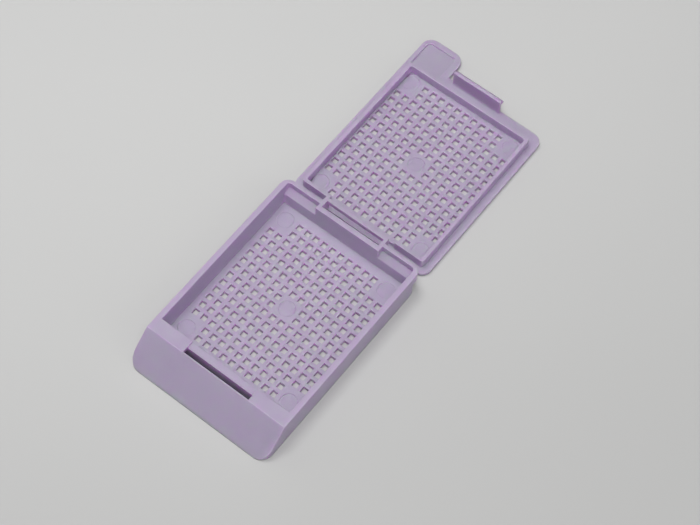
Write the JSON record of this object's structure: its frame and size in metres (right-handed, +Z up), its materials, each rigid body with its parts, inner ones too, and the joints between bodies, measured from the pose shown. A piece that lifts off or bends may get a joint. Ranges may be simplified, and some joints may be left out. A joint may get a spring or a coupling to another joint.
{
  "type": "tissue cassette",
  "caption": "Shallow perforated plastic tray with a sloped writing face and a hinged perforated lid that latches shut over a tissue sample.",
  "frame": {"origin": "on the underside of the tray, under the solid block in the middle of its hole pattern, on the plane that the cassette rests on", "axes": "+X across the cassette towards the side without the thumb tab, +Y from the writing face to the hinge and on over the open lid, +Z up"},
  "size_m": [0.0286, 0.0816, 0.0053],
  "materials": {
    "tray_plastic": "fine matt moulded surface, lilac",
    "lid_plastic": "fine matt moulded surface, lilac"
  },
  "bodies": {
    "tray": {"tray": "tray_plastic"},
    "lid": {"lid": "lid_plastic"}
  },
  "joints": [
    {"name": "lid_hinge", "type": "hinge", "parent": "tray", "child": "lid", "pos_m": [0, 0.01763, 0.00312], "axis": [1, 0, 0], "range_deg": [0, 180]}
  ]
}
